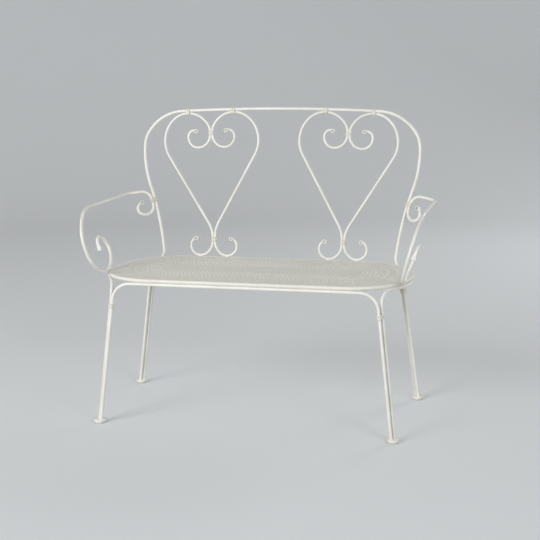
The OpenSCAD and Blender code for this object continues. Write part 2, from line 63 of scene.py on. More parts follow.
# The roll's centreline: half its length and depth, its corners' radius and its height
RIM_A, RIM_B, RIM_R = SEAT_L / 2 - ROLL_D / 2, SEAT_D / 2 - ROLL_D / 2, SEAT_CORNER - ROLL_D / 2
RIM_Z = SEAT_H - ROLL_D / 2
SHEET_UP = ROLL_D / 2 - SHEET_DROP
ROD_D, HEART_D, WIRE_D, WELD_GAP = 10, 8, 8, 0.1
UNDER_Z = SEAT_H - ROLL_D - ROD_D / 2 - WELD_GAP
LEG_PITCH, LEG_COLLAR_Z, SPACER_ZS = 12, SEAT_H - 86, (85, 212)
FOOT_D, FOOT_TOP, GLIDE_D, GLIDE_H = 36, 12, 34, 5
ROD_FOOT_Z = GLIDE_H + 3
BACK_LEAN = math.radians(6)
RAIL_R, RAIL_TOP = 7000, 949
COLLAR_L, COLLAR_OUT, COLLAR_GAP, GROOVE_UP = 14, 2.8, 0.15, 1
# Hammered tips: the strip's width and thickness, how square its section gets, and its eye
TIP_W, TIP_T, TIP_SQUARE, EYE_D, EYE_A = 13, 3.6, 0.55, 14.5, 300

X, Y, Z = Vector((1, 0, 0)), Vector((0, 1, 0)), Vector((0, 0, 1))


def sin(degrees):
    return math.sin(math.radians(degrees))


def cos(degrees):
    return math.cos(math.radians(degrees))


# Poses, and the moves that a rod is bent by


def pose(at, heading, left):
    """A matrix whose columns are heading, left, up and the point itself."""
    x = heading.normalized()
    y = (left - left.dot(x) * x).normalized()
    return placed(at, x, y, x.cross(y))


def placed(at, x, y, z):
    return Matrix.Translation(at) @ Matrix((x, y, z)).transposed().to_4x4()


def heading(p):
    return p.col[0].xyz


def left(p):
    return p.col[1].xyz


def up(p):
    return p.col[2].xyz


def point(p):
    return p.col[3].xyz


def step(p, bend):
    """The pose after a straight (length,) or a bend (radius, degrees)."""
    if len(bend) == 1:
        return p @ Matrix.Translation((bend[0], 0, 0))
    r = math.copysign(bend[0], bend[1])
    turn = Matrix.Rotation(math.radians(bend[1]), 4, "Z")
    return p @ Matrix.Translation((0, r, 0)) @ turn @ Matrix.Translation((0, -r, 0))


def bends(p, chain):
    """The moves of a chain of straights and bends from pose p, and the pose at its end."""
    moves = []
    for bend in chain:
        if len(bend) == 1:
            moves.append(heading(p) * bend[0])
        else:
            centre = p @ Vector((0, math.copysign(bend[0], bend[1]), 0))
            moves.append((centre, up(p), math.radians(bend[1])))
        p = step(p, bend)
    return moves, p


def corners(points, radii):
    """The moves from the first point to the last, rounded at each point between them."""
    moves, here = [], points[0]
    for i in range(1, len(points) - 1):
        before = (points[i] - points[i - 1]).normalized()
        after = (points[i + 1] - points[i]).normalized()
        angle = before.angle(after)
        back = radii[i - 1] * math.tan(angle / 2)
        start = points[i] - back * before
        axis = before.cross(after).normalized()
        moves += [start - here, (start + radii[i - 1] * axis.cross(before), axis, angle)]
        here = points[i] + back * after
    return moves + [points[-1] - here]


def verts_of(geom):
    return [g for g in geom if isinstance(g, bmesh.types.BMVert)]


def edges_of(geom):
    return [g for g in geom if isinstance(g, bmesh.types.BMEdge)]


def sweep(bm, geom, moves, sag=0.04):
    """Carries vertices and edges along the moves and leaves faces or edges behind. Facets
    of a bend lie no further than sag from its true arc."""
    for move in moves:
        if isinstance(move, Vector):
            if move.length < 1e-6:
                continue
            made = bmesh.ops.spin(bm, geom=geom, cent=(0, 0, 0), axis=Z, dvec=move,
                                  angle=0, steps=1, use_duplicate=False)
        else:
            centre, axis, angle = move
            radius = max((v.co - centre).cross(axis).length for v in verts_of(geom))
            steps = math.ceil(abs(angle) / (2 * math.acos(1 - sag / radius)))
            made = bmesh.ops.spin(bm, geom=geom, cent=centre, axis=axis, dvec=(0, 0, 0),
                                  angle=angle, steps=max(2, steps), use_duplicate=False)
        geom = made["geom_last"]
    return geom


def whole(bm):
    return bm.verts[:] + bm.edges[:]


def ring(bm, p, d, sides=20):
    """A round section of a rod of diameter d, at pose p."""
    before = set(bm.edges)
    made = bmesh.ops.create_circle(bm, segments=sides, radius=d / 2,
                                   matrix=p @ Matrix.Rotation(math.pi / 2, 4, "Y"))
    return made["verts"] + [e for e in bm.edges if e not in before]


def slide(bm, geom, by):
    return sweep(bm, geom, [by])


def cap(bm, geom):
    bmesh.ops.holes_fill(bm, edges=edges_of(geom))


def hammered(bm, geom, p, d):
    """Flattens the end of a rod to a strip and rolls the strip to an eye."""
    length = 1.6 * d - 1  # 15 mm on an arm, 11.8 mm on a heart
    for share in (0.3, 0.55, 0.8, 1.0):
        was = [(v, (p.inverted() @ v.co)) for v in verts_of(geom)]
        at = length * share
        geom = slide(bm, geom, heading(p) * (at - was[0][1].x))
        ease = share * share * (3 - 2 * share)
        thick, wide = d + (TIP_T - d) * ease, d + (TIP_W - d) * ease
        square = 1 - TIP_SQUARE * ease
        for v in verts_of(geom):
            q = p.inverted() @ v.co
            a = math.atan2(q.z, q.y)
            y = math.copysign(abs(math.cos(a)) ** square, math.cos(a)) * thick / 2
            z = math.copysign(abs(math.sin(a)) ** square, math.sin(a)) * wide / 2
            v.co = p @ Vector((at, y, z))
    eye = p @ Vector((length, EYE_D / 2 - TIP_T / 2, 0))
    geom = sweep(bm, geom, [(eye, up(p), math.radians(EYE_A))], sag=0.12)
    cap(bm, geom)


def scroll(bm, geom, p, chain, d):
    """Bends a rod of diameter d along a chain and hammers its tip."""
    moves, end = bends(p, chain)
    hammered(bm, sweep(bm, geom, moves), end, d)


# The finished pieces


def finish(name, bm, look, nodes, mirror=False, crease=35):
    """Closes a mesh, puts it in its place in metres and lets it stand for its nodes."""
    if mirror:
        bmesh.ops.scale(bm, vec=(-1, 1, 1), verts=bm.verts)
    bmesh.ops.remove_doubles(bm, verts=bm.verts, dist=MERGE)
    bmesh.ops.recalc_face_normals(bm, faces=bm.faces)
    bmesh.ops.translate(bm, vec=(0, SHIFT_Y, 0), verts=bm.verts)
    bmesh.ops.scale(bm, vec=(MM, MM, MM), verts=bm.verts)
    mesh = bpy.data.meshes.new(name)
    bm.to_mesh(mesh)
    bm.free()
    mesh.shade_smooth()
    mesh.set_sharp_from_angle(angle=math.radians(crease))
    mesh.materials.append(look)
    obj = bpy.data.objects.new(name, mesh)
    bpy.context.scene.collection.objects.link(obj)
    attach(obj, "root")
    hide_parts(*nodes)
    return obj


def both_sides(name, bm, look, node):
    """The right-hand piece and its mirror image; node names hold {} for the side."""
    twin = bm.copy()
    finish(name.format("right"), bm, look, [node.format("right")])
    finish(name.format("left"), twin, look, [node.format("left")], mirror=True)


# Layout of the legs: how far their heads lie in from the seat's rim, how far their feet
# splay out from there, and the direction in which a leg's two rods stand side by side
FRONT_IN, FRONT_SPLAY_X, FRONT_SPLAY_Y = 73, 50, 30
REAR_IN_X, REAR_IN_Y, REAR_SPLAY_X, REAR_SPLAY_Y = 54, 42, 62, 2
BESIDE_X, BESIDE_Y = 0.68, 0.73
OFF_X, OFF_Y = LEG_PITCH / 2 * BESIDE_X, LEG_PITCH / 2 * BESIDE_Y
FRONT_FOOT = Vector((RIM_A - FRONT_IN + FRONT_SPLAY_X, -RIM_B - FRONT_SPLAY_Y + OFF_Y, 0))
FRONT_HEAD = Vector((RIM_A - FRONT_IN, -RIM_B + OFF_Y, UNDER_Z))
REAR_FOOT = Vector((RIM_A - REAR_IN_X + REAR_SPLAY_X, RIM_B - REAR_IN_Y + REAR_SPLAY_Y, 0))
REAR_HEAD = Vector((RIM_A - REAR_IN_X, RIM_B - REAR_IN_Y, UNDER_Z))
FRONT_OFF = Vector((OFF_X, OFF_Y, 0))
REAR_OFF = Vector((OFF_X, -OFF_Y, 0))

# Layout of the back, which leans and rests on the roll at REST_A degrees above level
BACK_UP = Vector((0, math.sin(BACK_LEAN), math.cos(BACK_LEAN)))
BACK_OUT = Vector((0, math.cos(BACK_LEAN), -math.sin(BACK_LEAN)))
REST_D, REST_A = ROLL_D / 2 + HEART_D / 2 + WELD_GAP, 58
BACK_Y, BACK_Z = RIM_B + REST_D * cos(REST_A), RIM_Z + REST_D * sin(REST_A)
RAIL_S = (RAIL_TOP - ROD_D / 2 - BACK_Z) / math.cos(BACK_LEAN)
SHIFT_Y = -(-RIM_B - FRONT_SPLAY_Y - FOOT_D / 2 + OFF_Y
            + BACK_Y + RAIL_S * math.sin(BACK_LEAN) + ROD_D / 2 + COLLAR_OUT) / 2
# Bends of a shoulder from the rail down, and how far its outside stays in from the seat's end
SHOULDER, SHOULDER_IN = ((150, 57), (90, 27.5), (360, 22)), 6
# The post's hollow bend and the straight below it, down to where it turns in to the leg
HOLLOW_A, POST_STRAIGHT, POST_LOW_Z, LEG_HIGH_Z = 11.5, 35, SEAT_H + 8, SEAT_H - 52


def in_back(x, s):
    """A point of the back's plane: x along the bench, s up the lean."""
    return Vector((x, BACK_Y, BACK_Z)) + s * BACK_UP


def along(a, b, z):
    return a + (b - a) * ((z - a.z) / (b.z - a.z))


def rail_angle():
    """Half angle of the arched rail that brings the shoulder to its widest point."""
    widest = RIM_A + ROLL_D / 2 - SHOULDER_IN - ROD_D / 2
    angle = 2.7  # a first guess, which the loop refines
    for _ in range(8):
        reach, at = 0, angle
        for r, turn in SHOULDER[:2]:
            reach += r * (sin(at + turn) - sin(at))
            at += turn
        reach += SHOULDER[2][0] * (1 - sin(at))
        angle = math.degrees(math.asin((widest - reach) / RAIL_R))
    return angle


RAIL_MID = pose(in_back(0, RAIL_S), X, BACK_UP)
POST_CHAIN = [(RAIL_R, -rail_angle())] + [(r, -a) for r, a in SHOULDER]
HOLLOW_START = bends(RAIL_MID, POST_CHAIN)[1]
UNIT_HOLLOW = step(HOLLOW_START, (1, HOLLOW_A))
HOLLOW_R = ((POST_LOW_Z - point(HOLLOW_START).z - POST_STRAIGHT * heading(UNIT_HOLLOW).z)
            / (point(UNIT_HOLLOW) - point(HOLLOW_START)).z)
POST_CHAIN.append((HOLLOW_R, HOLLOW_A))
POST_END = bends(RAIL_MID, POST_CHAIN)[1]
POST_LOW = along(point(POST_END), point(POST_END) + heading(POST_END), POST_LOW_Z)
LEG_HIGH = along(REAR_FOOT - REAR_OFF, REAR_HEAD - REAR_OFF, LEG_HIGH_Z)

# Hearts: two rods side by side at the lower collar and at the notch's collar. Their bends
# are a flare above the lower collar, a shoulder, two of the lobe, and the curls at both ends.
HEART_IN, HEART_COLLAR = 259, 55
HEART_X = SEAT_L / 2 - HEART_IN
PAIR = (HEART_D + WELD_GAP) / 2
FLARE_R, FLARE_A = 105, 30.5
LOBE_R, LOBE_IN_R, LOBE_A, LOBE_B = 79, 44, 134.5, 243.5
NOTCH_CURL = [(42, 95), (34, 100), (20, 60)]
CURL_R, CURL_A, CURL_LOW_R = 50, 60, 35
CURL_OUT = CURL_R * (1 - cos(CURL_A)) + CURL_LOW_R * cos(CURL_A)
CURL_DROP = CURL_R * sin(CURL_A) + CURL_LOW_R * (1 - sin(CURL_A))
HEART_STRAIGHT = COLLAR_L / 2 - 2
RAIL_C = RAIL_S - RAIL_R
HEART_TILT = math.degrees(math.atan2(HEART_X, HEART_COLLAR - RAIL_C))
LOBE_MID = PAIR - LOBE_R * sin(LOBE_B) + LOBE_IN_R * (1 + sin(LOBE_B))
APEX = (RAIL_R - math.hypot(HEART_X, HEART_COLLAR - RAIL_C)
        - LOBE_MID ** 2 / 2 / RAIL_R - ROD_D / 2 - HEART_D / 2 - WELD_GAP)


def heart_sides():
    """Length of a heart's straight side and radius of its shoulder, by which the lobe
    touches the rail and the rod comes back to its neighbour."""
    side = 90 - FLARE_A
    ax, ay = sin(LOBE_A) - sin(side), cos(side) - cos(LOBE_A)
    lobe_w = LOBE_R * (sin(LOBE_B) - sin(LOBE_A)) - LOBE_IN_R * (1 + sin(LOBE_B))
    across = -FLARE_R * (1 - cos(FLARE_A)) - lobe_w
    rise = APEX - HEART_STRAIGHT - FLARE_R * sin(FLARE_A) - LOBE_R * (cos(LOBE_A) + 1)
    det = cos(side) * ay - sin(side) * ax
    return (across * ay - rise * ax) / det, (cos(side) * rise - sin(side) * across) / det


HEART_SIDE, HEART_SHOULDER = heart_sides()
HEART_UP = [(HEART_STRAIGHT,), (FLARE_R, -FLARE_A), (HEART_SIDE,),
            (HEART_SHOULDER, LOBE_A - 90 + FLARE_A), (LOBE_R, LOBE_B - LOBE_A),
            (LOBE_IN_R, 270 - LOBE_B), (2 * HEART_STRAIGHT,)] + NOTCH_CURL
HEART_DOWN = [(HEART_COLLAR - CURL_DROP,), (CURL_R, CURL_A), (CURL_LOW_R, 78), (31, 82)]
HEART_BASE = in_back(HEART_X, HEART_COLLAR)


def tilted(degrees):
    return sin(degrees) * X + cos(degrees) * BACK_UP


# Arms: a plane that leans and toes outward and crosses the seat's edge near its front
# corner, STATION degrees round it. The rod lies on the edge there, its rear end turned up
# by ARM_RISE, and its inner scroll twisted out of the plane by ARM_TWIST.
ARM_LEAN, ARM_TOE, ARM_RISE, ARM_TWIST, STATION = 15.5, 1.3, 12, 6.5, 24
# Height of the collar over the seat, how far round the post the arm lies there, and the
# two bends of its neck with the place of the first one in front of the second
ARM_H, ARM_ROUND, TURN_R, NECK_R, NECK_Y = 187, 40, 50, 34, 30
ARM_F = Vector((-sin(ARM_TOE), -cos(ARM_TOE), 0))
ARM_O = Vector((cos(ARM_TOE), -sin(ARM_TOE), 0))
ARM_W = sin(ARM_LEAN) * ARM_O + cos(ARM_LEAN) * Z
ARM_STAND = Vector((RIM_A - RIM_R + RIM_R * cos(STATION),
                    -(RIM_B - RIM_R) - RIM_R * sin(STATION), RIM_Z))
ARM_T = -cos(ARM_RISE) * ARM_F + sin(ARM_RISE) * ARM_W
ARM_N = Vector((sin(STATION), cos(STATION), 0)).cross(ARM_T).normalized()
ARM_AT = ARM_STAND + (ROLL_D / 2 + ROD_D / 2 + WELD_GAP) * ARM_N
ARM_UP = cos(ARM_RISE) * ARM_W + sin(ARM_RISE) * ARM_F
ARM_IN = pose(ARM_AT, ARM_T, cos(ARM_TWIST) * ARM_UP + sin(ARM_TWIST) * ARM_O)
ARM_IN_CHAIN = [(88, 46), (44, 92), (26, 108)]
ARM_OUT = pose(ARM_AT, -ARM_T, -ARM_UP)
ARM_OUT_CHAIN = [(88, -(48.5 + ARM_RISE)), (95, -61.5), (122, -68.5)]
ARM_REAR_CHAIN = [(13,), (31, 125), (20, 95)]
ARM_TOP = bends(ARM_OUT, ARM_OUT_CHAIN)[1]
ARM_S = (SEAT_H + ARM_H - BACK_Z) / math.cos(BACK_LEAN)
HOLLOW_C = point(HOLLOW_START) + HOLLOW_R * left(HOLLOW_START)
HOLLOW_S = (HOLLOW_C - Vector((0, BACK_Y, BACK_Z))).dot(BACK_UP)
ARM_DX = math.sqrt(HOLLOW_R ** 2 - (ARM_S - HOLLOW_S) ** 2)
POST_AT = in_back(HOLLOW_C.x - ARM_DX, ARM_S)
POST_U = (BACK_UP * ARM_DX - X * (HOLLOW_S - ARM_S)).normalized()
ARM_SIDE = (cos(ARM_ROUND) * POST_U.cross(-BACK_OUT) - sin(ARM_ROUND) * BACK_OUT).normalized()
ARM_BASE = POST_AT + (ROD_D + WELD_GAP) * ARM_SIDE
ARM_BEND = ARM_BASE + NECK_R * POST_U
ARM_TURN = point(ARM_TOP) + heading(ARM_TOP) * (
    (ARM_BEND.y - NECK_Y - point(ARM_TOP).y) / heading(ARM_TOP).y)


# Colours and materials. Sizes in millimetres of what the finishes show: warmer patches,
# flecks, duller spots and the slow wave of the enamel, and the scuffs and grain of the glides
PATCH_MM, FLECK_MM, DULL_MM, WAVE_MM = 70, 3.5, 18, 26
SCUFF_MM, GRAIN_MM, GRAIN_UP_MM = 5, 1.2, 0.12
FLECK_SHARE, SHINIER, DULLER = 0.22, 0.05, 0.07
ENAMEL_IOR, POLYETHYLENE_IOR = 1.5, 1.5
# A darker enamel for the collars, which is painted shade of their grooves and of the joints
# they clamp, and the grey of the glides' scuffs
COLLAR_PAINTED_SHADE, SCUFF_GREY = "#dad6c6", "#a9a69b"


def linear(code):
    """A linear colour with alpha from an sRGB hex value such as #f0eee3."""
    parts = [int(code[i:i + 2], 16) / 255 for i in (1, 3, 5)]
    return [c / 12.92 if c <= 0.04045 else ((c + 0.055) / 1.055) ** 2.4 for c in parts] + [1]


def srgb(colour):
    """The hex value of a linear colour, as a colour property holds it."""
    parts = [c * 12.92 if c <= 0.0031308 else 1.055 * c ** (1 / 2.4) - 0.055 for c in colour]
    return "#" + "".join(f"{round(max(0, min(1, c)) * 255):02x}" for c in parts[:3])


def node(tree, kind, settings=None, **inputs):
    """Adds a node; an input is a value, or a socket that is linked to it."""
    made = tree.nodes.new(kind)
    for name, value in (settings or {}).items():
        setattr(made, name, value)
    for name, value in inputs.items():
        wanted = name.replace("_", " ").lower()
        socket = next(s for s in made.inputs if s.name.lower() == wanted and s.enabled)
        if isinstance(value, bpy.types.NodeSocket):
            tree.links.new(value, socket)
        else:
            socket.default_value = value
    return made


def new_material(name):
    """An empty material with nodes."""
    made = bpy.data.materials.new(name)
    made.use_nodes = True
    made.node_tree.nodes.clear()
    return made


def per_metre(size_mm):
    """The scale at which a noise on Object coordinates has lumps of this size."""
    return 1 / (size_mm * MM)


def blotches(tree, at, size_mm, low, high, detail=2.0):
    """Noise with lumps of the given size, stretched to run from 0 to 1."""
    lumps = node(tree, "ShaderNodeTexNoise", Vector=at, Scale=per_metre(size_mm),
                 Detail=detail, Roughness=0.55)
    return node(tree, "ShaderNodeMapRange", Value=lumps.outputs["Fac"], From_Min=low,
                From_Max=high).outputs["Result"]


def painted(name, light, shade, gloss, peel_mm, peel_height, wave_height):
    """Satin enamel brushed and sprayed thick over welded steel: an off-white that turns
    a little warmer in soft patches, with an orange peel and a slow hand-bent wave that
    break up the highlight along a rod. The real peel is about 1 mm wide. It is drawn 2 to
    3 mm wide so that it shows. Heights are in millimetres. A Mix node's inputs 6 and 7 are
    its two colours."""
    made = new_material(name)
    tree = made.node_tree
    at = node(tree, "ShaderNodeTexCoord").outputs["Object"]
    patches = blotches(tree, at, PATCH_MM, 0.35, 0.7, 3.0)
    specks = blotches(tree, at, FLECK_MM, 0.55, 0.8)
    tone = node(tree, "ShaderNodeMix", {"data_type": "RGBA"})
    tree.links.new(patches, tone.inputs["Factor"])
    tone.inputs[6].default_value = linear(light)
    tone.inputs[7].default_value = linear(shade)
    fleck = node(tree, "ShaderNodeMath", {"operation": "MULTIPLY"})
    tree.links.new(specks, fleck.inputs[0])
    fleck.inputs[1].default_value = FLECK_SHARE
    colour = node(tree, "ShaderNodeMix", {"data_type": "RGBA"})
    tree.links.new(fleck.outputs[0], colour.inputs["Factor"])
    tree.links.new(tone.outputs[2], colour.inputs[6])
    colour.inputs[7].default_value = linear(shade)
    rough = node(tree, "ShaderNodeMapRange", Value=blotches(tree, at, DULL_MM, 0.3, 0.7),
                 To_Min=gloss - SHINIER, To_Max=gloss + DULLER).outputs["Result"]
    peel = node(tree, "ShaderNodeTexNoise", Vector=at, Scale=per_metre(peel_mm), Detail=1.5)
    wave = node(tree, "ShaderNodeTexNoise", Vector=at, Scale=per_metre(WAVE_MM), Detail=1.0)
    low = node(tree, "ShaderNodeBump", Height=wave.outputs["Fac"], Strength=1.0,
               Distance=wave_height * MM)
    fine = node(tree, "ShaderNodeBump", Height=peel.outputs["Fac"], Strength=1.0,
                Distance=peel_height * MM, Normal=low.outputs["Normal"])
    shader = node(tree, "ShaderNodeBsdfPrincipled", Base_Color=colour.outputs[2],
                  Roughness=rough, IOR=ENAMEL_IOR, Normal=fine.outputs["Normal"])
    node(tree, "ShaderNodeOutputMaterial", Surface=shader.outputs[0])
    return made


def rubbed_plastic(name, light, shade):
    """Moulded polyethylene, off-white and matt, scuffed grey where it slides on paving.
    Its grain is drawn coarser than the real one so that it shows."""
    made = new_material(name)
    tree = made.node_tree
    at = node(tree, "ShaderNodeTexCoord").outputs["Object"]
    scuffs = blotches(tree, at, SCUFF_MM, 0.45, 0.75, 4.0)
    tone = node(tree, "ShaderNodeMix", {"data_type": "RGBA"})
    tree.links.new(scuffs, tone.inputs["Factor"])
    tone.inputs[6].default_value = linear(light)
    tone.inputs[7].default_value = linear(shade)
    grain = node(tree, "ShaderNodeTexNoise", Vector=at, Scale=per_metre(GRAIN_MM), Detail=3.0)
    bump = node(tree, "ShaderNodeBump", Height=grain.outputs["Fac"], Strength=0.6,
                Distance=GRAIN_UP_MM * MM)
    shader = node(tree, "ShaderNodeBsdfPrincipled", Base_Color=tone.outputs[2],
                  Roughness=0.62, IOR=POLYETHYLENE_IOR, Normal=bump.outputs["Normal"])
    node(tree, "ShaderNodeOutputMaterial", Surface=shader.outputs[0])
    return made


def studio(name, tone, lift):
    """Plain matt paper: one pale tone that neither shines nor shows a grain. What the
    camera and reflections see of it is lifted by its own faint glow, which lights nothing,
    so that it stays pale and keeps the bench's shadow."""
    made = new_material(name)
    tree = made.node_tree
    paper = node(tree, "ShaderNodeBsdfPrincipled", Base_Color=linear(tone), Roughness=1.0,
                 Specular_IOR_Level=0.0)
    glow = node(tree, "ShaderNodeEmission", Color=(1, 1, 1, 1), Strength=lift)
    both = node(tree, "ShaderNodeAddShader")
    tree.links.new(paper.outputs[0], both.inputs[0])
    tree.links.new(glow.outputs[0], both.inputs[1])
    ray = node(tree, "ShaderNodeLightPath").outputs
    seen = ray["Is Camera Ray"]
    for kind in ("Is Glossy Ray", "Is Transmission Ray"):
        more = node(tree, "ShaderNodeMath", {"operation": "MAXIMUM"})
        tree.links.new(seen, more.inputs[0])
        tree.links.new(ray[kind], more.inputs[1])
        seen = more.outputs[0]
    pick = node(tree, "ShaderNodeMixShader", Fac=seen)
    tree.links.new(paper.outputs[0], pick.inputs[1])
    tree.links.new(both.outputs[0], pick.inputs[2])
    node(tree, "ShaderNodeOutputMaterial", Surface=pick.outputs[0])
    return made


LOOKS = {}


def look(kind):
    """The material of a rod, the sheet, a collar or a glide, made once from the chosen colours.
    The sheet's coat is thinner and duller than the rods', a collar's is thicker. A collar is
    also painted darker than a rod: painted shade of its grooves and of the joint it clamps."""
    if kind not in LOOKS:
        c = bpy.context.scene.bench_colours
        shade = srgb(c.paint_shade)
        if kind == "rod":
            LOOKS[kind] = painted("satin_enamel_rod", srgb(c.paint), shade, c.gloss,
                                  peel_mm=2.2, peel_height=0.05, wave_height=0.1)
        elif kind == "sheet":
            LOOKS[kind] = painted("satin_enamel_sheet", srgb(c.sheet), shade, c.gloss + 0.12,
                                  peel_mm=2.6, peel_height=0.03, wave_height=0.05)
        elif kind == "collar":
            # A collar is drawn in the paint's shade and a darker colour: painted shade of its
            # grooves and of the joint it clamps
            LOOKS[kind] = painted("collar_enamel_painted_shade", shade, COLLAR_PAINTED_SHADE, c.gloss + 0.03,
                                  peel_mm=2.8, peel_height=0.1, wave_height=0.15)
        else:
            LOOKS[kind] = rubbed_plastic("moulded_polyethylene", srgb(c.glide), SCUFF_GREY)
    return LOOKS[kind]


class BenchSizes(bpy.types.PropertyGroup):
    """Sizes that change how the bench is finished, and not how big it is."""

    hole: bpy.props.FloatProperty(
        name="Hole", description="Diameter of the punched holes", default=0.005,
        min=0.003, max=0.007, unit="LENGTH")
    hole_sides: bpy.props.IntProperty(
        name="Hole sides", description="Corners of each punched hole", default=12, min=6,
        max=16)
    rod_sides: bpy.props.IntProperty(
        name="Rod sides", description="Corners of a rod's round section", default=20,
        min=12, max=40)
    weld: bpy.props.FloatProperty(
        name="Weld", description="Width of the weld beads", default=0.0045, min=0.002,
        max=0.008, unit="LENGTH")


class BenchColours(bpy.types.PropertyGroup):
    """Colours of the paint, the glides and the studio."""

    paint: bpy.props.FloatVectorProperty(
        name="Paint", description="Enamel on the rods", subtype="COLOR", size=3,
        default=linear("#f6f5ef")[:3], min=0, max=1)
    paint_shade: bpy.props.FloatVectorProperty(
        name="Paint shade", description="Warmer patches of the enamel", subtype="COLOR",
        size=3, default=linear("#edeae0")[:3], min=0, max=1)
    sheet: bpy.props.FloatVectorProperty(
        name="Sheet", description="Enamel on the seat", subtype="COLOR", size=3,
        default=linear("#f0eee5")[:3], min=0, max=1)
    glide: bpy.props.FloatVectorProperty(
        name="Glide", description="Plastic under the feet", subtype="COLOR", size=3,
        default=linear("#dcdace")[:3], min=0, max=1)
    gloss: bpy.props.FloatProperty(
        name="Roughness", description="Roughness of the enamel", default=0.36, min=0.1,
        max=0.9, subtype="FACTOR")
    floor: bpy.props.FloatVectorProperty(
        name="Floor", description="Paper of the studio floor", subtype="COLOR", size=3,
        default=linear("#c9ccce")[:3], min=0, max=1)


class BENCH_OT_seat(bpy.types.Operator):
    """Seat: one punched sheet whose edge is rolled round a wire"""

    bl_idname = "bench.seat"
    bl_label = "Seat"

    flange = 16  # plain sheet between the roll's centreline and the punched field
    blend_r = 5  # hollow where the sheet runs up onto the roll
    curl_end = 20  # how far past level the roll comes back under the sheet
    seam = 125.5  # a line between two rows, up to which the field is filled at a time
    drawn, drawn_down = 1.6, 0.9  # width and depth of the edge that the punch draws in
    crease = 22  # degrees, small enough to keep the drawn edges crisp
    # Inset from the outline and pitch of each row, and its start as a share of the pitch
    rows = [(52, 21, 0.5), (82, 13, 0.5)] + [(106 + 13 * k, 13, k % 2 / 2) for k in range(5)]

    def row_length(self, inset):
        return (4 * (SEAT_L / 2 - SEAT_CORNER) + 4 * (SEAT_D / 2 - SEAT_CORNER)
                + 2 * math.pi * (SEAT_CORNER - inset))

    def row_point(self, inset, t):
        """The point at distance t along a row that lies inset inside the outline."""
        hx, hy, r = SEAT_L / 2 - SEAT_CORNER, SEAT_D / 2 - SEAT_CORNER, SEAT_CORNER - inset
        q = math.pi * r / 2
        quarter = hx + q + hy
        turns = math.floor(t / (2 * quarter))
        u = t - turns * 2 * quarter
        w = 2 * quarter - u if u > quarter else u
        round_a = min(max((w - hx) / r, 0), math.pi / 2)
        x = min(w, hx) + r * math.sin(round_a)
        y = hy + r * math.cos(round_a) - max(0, w - hx - q)
        side = 1 if turns == 0 else -1
        return side * x, side * (-y if u > quarter else y)

    def punch(self, bm, row, level, sizes):
        """One row of holes with drawn edges; gives the loops of edges in the sheet. The
        count of holes is even, so that both halves of the seat get the same."""
        inset, pitch, phase = row
        length = self.row_length(inset)
        count = 2 * round(length / pitch / 2)
        hole_r = sizes.hole / MM / 2
        before = set(bm.edges)
        for i in range(count):
            x, y = self.row_point(inset, (i + phase) * length / count)
            bmesh.ops.create_cone(
                bm, cap_ends=False, segments=sizes.hole_sides, radius1=hole_r,
                radius2=hole_r + self.drawn, depth=self.drawn_down,
                matrix=Matrix.Translation((x, y, level - self.drawn_down / 2)))
        return [e for e in bm.edges if e not in before and self.level_at(e, level)]

    @staticmethod
    def level_at(edge, level):
        """Whether an edge lies at this height."""
        return all(abs(v.co.z - level) < 0.01 for v in edge.verts)

    def execute(self, context):
        sizes = context.scene.bench_sizes
        start = pose(Vector((-(RIM_A - RIM_R), -RIM_B, RIM_Z)), X, Y)
        out = math.sqrt((ROLL_D / 2 + self.blend_r) ** 2 - (SHEET_UP + self.blend_r) ** 2)
        lift = math.atan2(SHEET_UP + self.blend_r, out)
        bm = bmesh.new()
        made = bmesh.ops.create_vert(bm, co=start @ Vector((0, self.flange, SHEET_UP)))
        sweep(bm, made["vert"], [
            Vector((0, out - self.flange, 0)),
            (start @ Vector((0, out, SHEET_UP + self.blend_r)), X, lift - math.pi / 2),
            (point(start), X, 2 * math.pi + math.radians(self.curl_end) - lift)])
        long, wide = 2 * (RIM_A - RIM_R), 2 * (RIM_B - RIM_R)
        around, _ = bends(start, [(long,), (RIM_R, 90), (wide,), (RIM_R, 90)] * 2)
        sweep(bm, whole(bm), around)
        bmesh.ops.remove_doubles(bm, verts=bm.verts, dist=MERGE)
        level = SEAT_H - SHEET_DROP
        edge = [e for e in bm.edges if e.is_boundary and self.level_at(e, level)]
        before = set(bm.edges)
        seam_r = SEAT_CORNER - self.seam
        seam_at = Vector((-(SEAT_L / 2 - SEAT_CORNER), -(SEAT_D / 2 - self.seam), level))
        made = bmesh.ops.create_vert(bm, co=seam_at)
        sweep(bm, made["vert"], bends(pose(seam_at, X, Y), [
            (long,), (seam_r, 90), (wide,), (seam_r, 90)] * 2)[0])
        bmesh.ops.remove_doubles(bm, verts=bm.verts, dist=MERGE)
        seam = [e for e in bm.edges if e not in before]
        outer = [self.punch(bm, row, level, sizes) for row in self.rows if row[0] < self.seam]
        inner = [self.punch(bm, row, level, sizes) for row in self.rows if row[0] > self.seam]
        for rim, rows in ((edge + seam, outer), (seam, inner)):
            bmesh.ops.triangle_fill(bm, edges=rim + sum(rows, []), use_beauty=True, normal=Z)
        bmesh.ops.recalc_face_normals(bm, faces=bm.faces)
        flat = max(bm.faces, key=lambda f: f.calc_area())
        if flat.normal.z < 0:
            bmesh.ops.reverse_faces(bm, faces=bm.faces)
        bmesh.ops.solidify(bm, geom=bm.faces[:], thickness=SHEET_T)
        finish("seat_punched_sheet", bm, look("sheet"), ["seat_pan"],
               crease=self.crease)
        wire = bmesh.new()
        sweep(wire, ring(wire, start, WIRE_D, 12), around)
        finish("seat_edge_wire", wire, look("rod"), ["seat_wire"])
        return {"FINISHED"}


